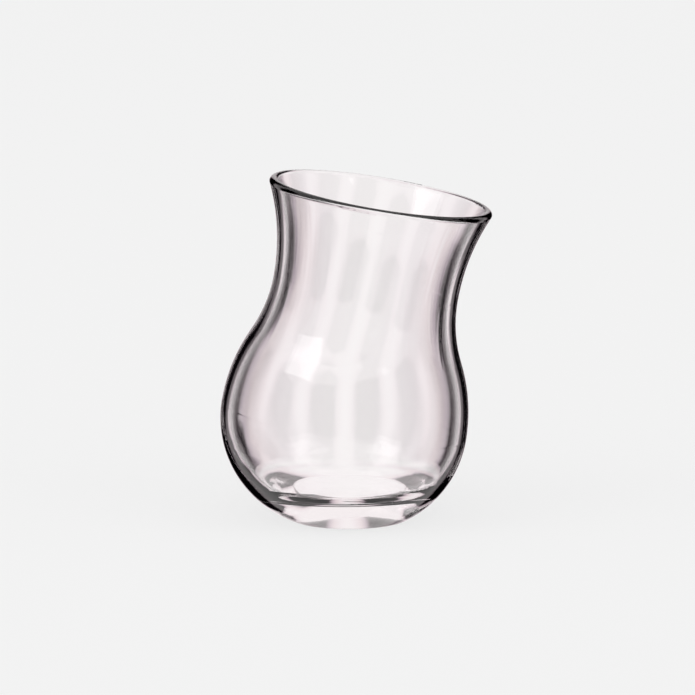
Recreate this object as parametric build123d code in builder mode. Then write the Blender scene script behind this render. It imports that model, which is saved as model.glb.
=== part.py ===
from build123d import *
import os
from math import acos, asin, atan2, cos, degrees, radians, sin, sqrt

# A leaning Turkish tea glass: one piece of clear glass. Its tulip body is turned about an axis that leans
# towards +X, and its heavy bottom is ground level, so the mouth tips down on the +X side.
# Millimetres and degrees, +Z up, with the origin at the middle of the ground foot.

# The turned body. Its heights run along the leaning axis, from the widest circle of the bowl.
LEAN = 9.25
BOWL_RADIUS = 31.0
HEEL_ARC_RADIUS = 27.3
WAIST_RADIUS = 23.2
BODY_WAIST_HEIGHT = 34.0
WAIST_ARC_RADIUS = 35.0
MOUTH_RADIUS = 28.0
BODY_MOUTH_HEIGHT = 56.5
WALL = 2.2

# The level bottom. Its heights are upright ones, from the surface that the glass stands on.
BOWL_CENTRE_HEIGHT = 25.0
FLOOR_THICKNESS = 8.5
INNER_HEEL_ARC_RADIUS = 23.0
FLOOR_FILLET = 7.0
FOOT_FILLET = 2.0

# Shoulder: an arc that leaves the bowl's widest circle upright and runs smoothly into the waist's arc.
waist_centre_radius = WAIST_RADIUS + WAIST_ARC_RADIUS
waist_gap = waist_centre_radius - BOWL_RADIUS
shoulder_arc_radius = (waist_gap**2 + BODY_WAIST_HEIGHT**2 - WAIST_ARC_RADIUS**2) / (
    2 * (WAIST_ARC_RADIUS - waist_gap)
)
shoulder_centre_radius = BOWL_RADIUS - shoulder_arc_radius
shoulder_angle = degrees(atan2(BODY_WAIST_HEIGHT, waist_centre_radius - shoulder_centre_radius))

# Neck: an arc that leaves the waist along the axis and flares out to the mouth.
flare_rise = BODY_MOUTH_HEIGHT - BODY_WAIST_HEIGHT
flare_reach = MOUTH_RADIUS - WAIST_RADIUS
neck_arc_radius = (flare_rise**2 + flare_reach**2) / (2 * flare_reach)
neck_centre_radius = WAIST_RADIUS + neck_arc_radius
neck_angle = degrees(asin(flare_rise / neck_arc_radius))

# Foot: where the level cut meets the heel on the +X and the -X side. The origin is midway between.
heel_centre_radius = BOWL_RADIUS - HEEL_ARC_RADIUS
foot_ends = []
for side in (1, -1):
    heel_centre_x = side * heel_centre_radius * cos(radians(LEAN))
    heel_centre_z = BOWL_CENTRE_HEIGHT - side * heel_centre_radius * sin(radians(LEAN))
    foot_ends.append(heel_centre_x + side * sqrt(HEEL_ARC_RADIUS**2 - heel_centre_z**2))
foot_middle_x = sum(foot_ends) / 2

# The leaning frame. The profile's X is the distance from the axis, and its Y runs up along the axis.
bowl_centre = Vector(-foot_middle_x, 0, BOWL_CENTRE_HEIGHT)
turning_axis = Axis(bowl_centre, (sin(radians(LEAN)), 0, cos(radians(LEAN))))
turning_plane = Plane(
    bowl_centre, x_dir=(cos(radians(LEAN)), 0, -sin(radians(LEAN))), z_dir=(0, -1, 0)
)


def side_line(inset, heel_arc_radius):
    """Draws the body's side from the axis to the mouth, inset from the outer surface. Returns its two ends."""
    heel_centre = BOWL_RADIUS - inset - heel_arc_radius
    heel_sweep = degrees(acos(-heel_centre / heel_arc_radius))
    heel = CenterArc((heel_centre, 0), heel_arc_radius, -heel_sweep, heel_sweep)
    CenterArc((shoulder_centre_radius, 0), shoulder_arc_radius - inset, 0, shoulder_angle)
    CenterArc(
        (waist_centre_radius, BODY_WAIST_HEIGHT),
        WAIST_ARC_RADIUS + inset,
        180 + shoulder_angle,
        -shoulder_angle,
    )
    neck = CenterArc(
        (neck_centre_radius, BODY_WAIST_HEIGHT), neck_arc_radius + inset, 180, -neck_angle
    )
    return heel @ 0, neck @ 1


# Cavity: the space for the tea, a wall's thickness inside the body, with a level floor.
with BuildPart() as cavity:
    with BuildSketch(turning_plane):
        with BuildLine():
            bottom, top = side_line(WALL, INNER_HEEL_ARC_RADIUS)
            Polyline(top, (top.X, top.Y + WALL), (0, top.Y + WALL), bottom)
        make_face()
    revolve(axis=turning_axis)
    split(bisect_by=Plane.XY.offset(FLOOR_THICKNESS), keep=Keep.TOP)
    fillet(cavity.faces().sort_by(Axis.Z)[0].edges(), FLOOR_FILLET)

# Glass: the turned body with a half-round lip, ground level at the foot and hollowed by the cavity.
with BuildPart() as glass:
    with BuildSketch(turning_plane):
        with BuildLine():
            bottom, _ = side_line(0, HEEL_ARC_RADIUS)
            lip_reach = neck_arc_radius + WALL / 2
            lip_centre = (
                neck_centre_radius - lip_reach * cos(radians(neck_angle)),
                BODY_WAIST_HEIGHT + lip_reach * sin(radians(neck_angle)),
            )
            lip = CenterArc(lip_centre, WALL / 2, -neck_angle, 180)
            Polyline(lip @ 1, (0, (lip @ 1).Y), bottom)
        make_face()
    revolve(axis=turning_axis)
    split(bisect_by=Plane.XY, keep=Keep.TOP)
    fillet(glass.faces().sort_by(Axis.Z)[0].edges(), FOOT_FILLET)
    add(cavity.part, mode=Mode.SUBTRACT)
glass.part.label = "glass"

os.makedirs("parts", exist_ok=True)
export_step(glass.part, "parts/glass.step")
print("glass", round(glass.part.volume / 1000, 2), "cm3; brimful", round(cavity.part.volume / 1000, 1), "ml")
print(glass.part.bounding_box())
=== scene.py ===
"""Looks of the leaning tea glass: its clear glass, and the bright studio that it stands in."""

import math

import bmesh
import bpy
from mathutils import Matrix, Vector


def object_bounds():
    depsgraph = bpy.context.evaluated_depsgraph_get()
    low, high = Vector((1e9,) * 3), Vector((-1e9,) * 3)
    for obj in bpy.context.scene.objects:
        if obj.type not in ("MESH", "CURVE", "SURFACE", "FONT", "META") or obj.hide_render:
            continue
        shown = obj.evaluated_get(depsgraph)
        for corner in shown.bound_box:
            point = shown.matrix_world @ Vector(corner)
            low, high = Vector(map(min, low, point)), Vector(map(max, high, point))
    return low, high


bl_info = {
    "name": "Leaning tea glass",
    "version": (1, 0, 0),
    "blender": (4, 5, 0),
    "location": "3D View > Sidebar > Tea Glass",
    "description": "Finishes a leaning tulip tea glass and sets up the studio and camera around it",
    "category": "Object",
}

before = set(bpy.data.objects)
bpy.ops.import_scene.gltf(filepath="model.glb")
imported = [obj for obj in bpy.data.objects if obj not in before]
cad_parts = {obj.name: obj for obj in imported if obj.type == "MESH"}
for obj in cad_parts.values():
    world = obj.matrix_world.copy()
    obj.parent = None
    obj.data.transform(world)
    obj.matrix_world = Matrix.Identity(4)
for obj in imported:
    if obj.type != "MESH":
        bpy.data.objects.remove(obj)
CAD_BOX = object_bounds()
MM = 0.001

# The studio's bright walls: degrees off the middle of a wall, and the sRGB colour that glass shows there.
WALL_FALL_OFF = (
    (0.0, "F8F5F5"),
    (3.0, "F4EEF0"),
    (6.8, "E8DCDE"),
    (9.0, "C2B4BC"),
    (11.5, "2C2428"),
    (13.0, "0A080A"),
    (22.5, "050405"),
)
FLAG_FADE = math.radians(12)

# The floor: how far it reaches, how far it lies under the foot, and how much of its tone is its own glow.
FLOOR_RADIUS = 6.0
FLOOR_GAP = 0.2 * MM
FLOOR_SIDES = 96
FLOOR_GLOW = 0.85

# The two softboxes: name, the side that each stands on, and its power in watts. The rest they share.
SOFTBOXES = (("key_softbox", -1, 2.8), ("fill_softbox", 1, 1.8))
SOFTBOX_WIDTH = 0.8
SOFTBOX_PLACE = Vector((0.9, -0.6, 1.1))

# The camera: how far to the side of the foot's middle it looks, its sensor's width in millimetres, and
# how far it sees.
AIM_X = -0.5 * MM
CAMERA_SENSOR = 36.0
CAMERA_REACH = 20.0

# How much the mould's waves are drawn out along the glass's height.
WAVE_STRETCH = (1, 1, 0.4)


def linear_colour(hex_value):
    """Turns an sRGB hex colour such as "F2F2F2" into linear RGBA."""
    channels = [int(hex_value[i : i + 2], 16) / 255 for i in (0, 2, 4)]
    linear = [c / 12.92 if c <= 0.04045 else ((c + 0.055) / 1.055) ** 2.4 for c in channels]
    return (*linear, 1.0)


def add_node(tree, kind, inputs=None, **settings):
    """Adds a node with its settings. Each of its inputs takes an output socket or a plain value."""
    node = tree.nodes.new(kind)
    for name, value in settings.items():
        setattr(node, name, value)
    for name, value in (inputs or {}).items():
        if isinstance(value, bpy.types.NodeSocket):
            tree.links.new(value, node.inputs[name])
        else:
            node.inputs[name].default_value = value
    return node


def new_material(name):
    """Returns a material with no nodes in it, and its node tree."""
    material = bpy.data.materials.new(name)
    material.use_nodes = True
    material.node_tree.nodes.clear()
    return material, material.node_tree


class TeaGlassSettings(bpy.types.PropertyGroup):
    """What a user would change about the glass itself."""

    refractive_index: bpy.props.FloatProperty(
        name="Refractive index",
        description="How strongly the glass bends light. Soda-lime glass has 1.52",
        default=1.52,
        min=1.3,
        max=1.7,
    )
    cast: bpy.props.StringProperty(
        name="Colour cast",
        description="sRGB hex of the glass's faint rose cast",
        default="FAF2F4",
    )
    cast_density: bpy.props.FloatProperty(
        name="Cast density",
        description="How strongly each metre of glass takes that colour",
        default=12.0,
        min=0,
    )
    wave_size: bpy.props.FloatProperty(
        name="Wave size",
        description="Width of the soft waves left by the mould",
        default=9 * MM,
        subtype="DISTANCE",
    )
    wave_depth: bpy.props.FloatProperty(
        name="Wave depth",
        description="Depth of those waves",
        default=0.02 * MM,
        subtype="DISTANCE",
    )


class StudioSettings(bpy.types.PropertyGroup):
    """What a user would change about the stage."""

    backdrop: bpy.props.StringProperty(
        name="Backdrop",
        description="sRGB hex of the pale floor and backdrop",
        default="F2F2F2",
    )
    wall_count: bpy.props.IntProperty(
        name="Walls",
        description="Bright walls around the glass, with black flags between them",
        default=8,
        min=1,
    )
    flag_elevation: bpy.props.FloatProperty(
        name="Flag elevation",
        description="How far up and down the black flags reach",
        default=math.radians(32),
        subtype="ANGLE",
    )
    camera_distance: bpy.props.FloatProperty(
        name="Camera distance",
        description="From the glass to the camera",
        default=2.0,
        subtype="DISTANCE",
    )
    camera_elevation: bpy.props.FloatProperty(
        name="Camera elevation",
        description="How far above level the camera looks down from",
        default=math.radians(9.8),
        subtype="ANGLE",
    )
    view_width: bpy.props.FloatProperty(
        name="View width",
        description="Width that the camera sees at the glass",
        default=173.5 * MM,
        subtype="DISTANCE",
    )


def soda_lime_glass(settings):
    """Soda-lime glass, blown in a mould and fire-polished: clear and sharply mirroring, faintly rose."""
    material, tree = new_material("soda_lime_glass")
    # The mould leaves soft waves, too shallow to see but enough to bend what the glass mirrors.
    coordinates = add_node(tree, "ShaderNodeTexCoord")
    stretched = add_node(
        tree,
        "ShaderNodeMapping",
        {"Vector": coordinates.outputs["Object"], "Scale": WAVE_STRETCH},
    )
    waves = add_node(
        tree,
        "ShaderNodeTexNoise",
        {"Vector": stretched.outputs["Vector"], "Scale": 1 / settings.wave_size, "Detail": 1.0},
    )
    bump = add_node(
        tree,
        "ShaderNodeBump",
        {"Height": waves.outputs["Fac"], "Strength": 1.0, "Distance": settings.wave_depth},
    )
    surface = add_node(
        tree,
        "ShaderNodeBsdfPrincipled",
        {
            "Base Color": (1, 1, 1, 1),
            "Roughness": 0.0,
            "IOR": settings.refractive_index,
            "Transmission Weight": 1.0,
            "Normal": bump.outputs["Normal"],
        },
    )
    absorption = add_node(
        tree,
        "ShaderNodeVolumeAbsorption",
        {"Color": linear_colour(settings.cast), "Density": settings.cast_density},
    )
    add_node(
        tree,
        "ShaderNodeOutputMaterial",
        {"Surface": surface.outputs["BSDF"], "Volume": absorption.outputs["Volume"]},
    )
    return material


def seamless_paper(settings):
    """Matt background paper: an even pale tone that takes the glass's own faint shadow."""
    material, tree = new_material("seamless_paper")
    colour = linear_colour(settings.backdrop)
    paper = add_node(tree, "ShaderNodeBsdfDiffuse", {"Color": colour, "Roughness": 1.0})
    glow = add_node(tree, "ShaderNodeEmission", {"Color": colour, "Strength": 1.0})
    tone = add_node(
        tree,
        "ShaderNodeMixShader",
        {0: FLOOR_GLOW, 1: paper.outputs["BSDF"], 2: glow.outputs["Emission"]},
    )
    add_node(tree, "ShaderNodeOutputMaterial", {"Surface": tone.outputs["Shader"]})
    return material


def surround_colour(tree, settings):
    """White diffusion walls with black flags between them, which give clear glass its dark, crisp edges.

    The colour comes from the ray's direction. The walls stand evenly round the glass. Each falls off
    through rose to black at its sides, and they close over above and below.
    """
    coordinates = add_node(tree, "ShaderNodeTexCoord")
    direction = add_node(tree, "ShaderNodeSeparateXYZ", {"Vector": coordinates.outputs["Generated"]})
    azimuth = add_node(
        tree,
        "ShaderNodeMath",
        {0: direction.outputs["Y"], 1: direction.outputs["X"]},
        operation="ARCTAN2",
    )
    half_wall = math.pi / settings.wall_count
    off_wall = add_node(
        tree,
        "ShaderNodeMath",
        {0: azimuth.outputs[0], 1: half_wall},
        operation="PINGPONG",
    )
    share = add_node(tree, "ShaderNodeMath", {0: off_wall.outputs[0], 1: half_wall}, operation="DIVIDE")
    steepness = add_node(tree, "ShaderNodeMath", {0: direction.outputs["Z"]}, operation="ABSOLUTE")
    flag_strength = add_node(
        tree,
        "ShaderNodeMapRange",
        {
            "Value": steepness.outputs[0],
            "From Min": math.sin(settings.flag_elevation),
            "From Max": math.sin(settings.flag_elevation + FLAG_FADE),
            "To Min": 1.0,
            "To Max": 0.0,
        },
    )
    place = add_node(
        tree,
        "ShaderNodeMath",
        {0: share.outputs[0], 1: flag_strength.outputs["Result"]},
        operation="MULTIPLY",
    )
    ramp = add_node(tree, "ShaderNodeValToRGB", {"Fac": place.outputs[0]})
    stops = ramp.color_ramp.elements
    for degrees, colour in WALL_FALL_OFF[1:-1]:
        stops.new(math.radians(degrees) / half_wall).color = linear_colour(colour)
    stops[0].color = linear_colour(WALL_FALL_OFF[0][1])
    stops[len(stops) - 1].color = linear_colour(WALL_FALL_OFF[-1][1])
    return ramp.outputs["Color"]


class TEAGLASS_OT_glass(bpy.types.Operator):
    """Gives the glass its soda-lime finish"""

    bl_idname = "teaglass.glass"
    bl_label = "Glass"

    def execute(self, context):
        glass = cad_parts["glass"]
        glass.data.materials.clear()
        glass.data.materials.append(soda_lime_glass(context.scene.tea_glass))
        return {"FINISHED"}


class TEAGLASS_OT_stage(bpy.types.Operator):
    """Builds the floor, the softboxes, the surround and the camera"""

    bl_idname = "teaglass.stage"
    bl_label = "Stage"

    def execute(self, context):
        settings = context.scene.tea_studio
        self.add_floor(context.scene, settings)
        self.add_softboxes(context.scene)
        self.add_camera(context.scene, settings)
        self.add_surround(context.scene, settings)
        context.scene.view_settings.view_transform = "Standard"
        return {"FINISHED"}

    def add_floor(self, scene, settings):
        """Lays the paper just under the foot. Glass looks past it to the surround's walls."""
        disc = bmesh.new()
        bmesh.ops.create_circle(disc, cap_ends=True, segments=FLOOR_SIDES, radius=FLOOR_RADIUS)
        mesh = bpy.data.meshes.new("floor")
        disc.to_mesh(mesh)
        disc.free()
        mesh.materials.append(seamless_paper(settings))
        floor = bpy.data.objects.new("floor", mesh)
        floor.location.z = -FLOOR_GAP
        floor.visible_transmission = False
        floor.visible_glossy = False
        scene.collection.objects.link(floor)

    def add_softboxes(self, scene):
        """Hangs a square softbox on each side, turned towards the foot."""
        for name, side, power in SOFTBOXES:
            lamp = bpy.data.lights.new(name, "AREA")
            lamp.shape = "SQUARE"
            lamp.size = SOFTBOX_WIDTH
            lamp.energy = power
            softbox = bpy.data.objects.new(name, lamp)
            softbox.location = SOFTBOX_PLACE * Vector((side, 1, 1))
            softbox.rotation_euler = (-softbox.location).to_track_quat("-Z", "Y").to_euler()
            scene.collection.objects.link(softbox)

    def add_camera(self, scene, settings):
        """Sets the camera in front, looking slightly down at the middle of the glass."""
        low, high = CAD_BOX
        aim = Vector((AIM_X, 0, (low.z + high.z) / 2))
        lens = bpy.data.cameras.new("camera")
        lens.sensor_width = CAMERA_SENSOR
        lens.lens = CAMERA_SENSOR * settings.camera_distance / settings.view_width
        lens.clip_end = CAMERA_REACH
        camera = bpy.data.objects.new("camera", lens)
        tilt = settings.camera_elevation
        away = Vector((0, -math.cos(tilt), math.sin(tilt)))
        camera.location = aim + away * settings.camera_distance
        camera.rotation_euler = (-away).to_track_quat("-Z", "Y").to_euler()
        scene.collection.objects.link(camera)
        scene.camera = camera

    def add_surround(self, scene, settings):
        """Lights the studio evenly. What the glass mirrors and bends is the walls and flags."""
        world = bpy.data.worlds.new("studio")
        world.use_nodes = True
        tree = world.node_tree
        tree.nodes.clear()
        rays = add_node(tree, "ShaderNodeLightPath")
        by_glass = add_node(
            tree,
            "ShaderNodeMath",
            {0: rays.outputs["Is Glossy Ray"], 1: rays.outputs["Is Transmission Ray"]},
            operation="MAXIMUM",
        )
        colour = add_node(
            tree,
            "ShaderNodeMix",
            {0: by_glass.outputs[0], 6: linear_colour(settings.backdrop), 7: surround_colour(tree, settings)},
            data_type="RGBA",
        )
        light = add_node(tree, "ShaderNodeBackground", {"Color": colour.outputs[2]})
        add_node(tree, "ShaderNodeOutputWorld", {"Surface": light.outputs["Background"]})
        scene.world = world


class TEAGLASS_PT_panel(bpy.types.Panel):
    """Lists the sizes, the colours and the steps that finish the tea glass"""

    bl_label = "Tea Glass"
    bl_space_type = "VIEW_3D"
    bl_region_type = "UI"
    bl_category = "Tea Glass"

    def draw(self, context):
        for settings in (context.scene.tea_glass, context.scene.tea_studio):
            for name in type(settings).__annotations__:
                self.layout.prop(settings, name)
        for operator in (TEAGLASS_OT_glass, TEAGLASS_OT_stage):
            self.layout.operator(operator.bl_idname)


CLASSES = (TeaGlassSettings, StudioSettings, TEAGLASS_OT_glass, TEAGLASS_OT_stage, TEAGLASS_PT_panel)


def register():
    for item in CLASSES:
        bpy.utils.register_class(item)
    bpy.types.Scene.tea_glass = bpy.props.PointerProperty(type=TeaGlassSettings)
    bpy.types.Scene.tea_studio = bpy.props.PointerProperty(type=StudioSettings)


def unregister():
    del bpy.types.Scene.tea_studio
    del bpy.types.Scene.tea_glass
    for item in reversed(CLASSES):
        bpy.utils.unregister_class(item)


def main():
    register()
    bpy.ops.teaglass.glass()
    bpy.ops.teaglass.stage()


if __name__ == "__main__":
    main()
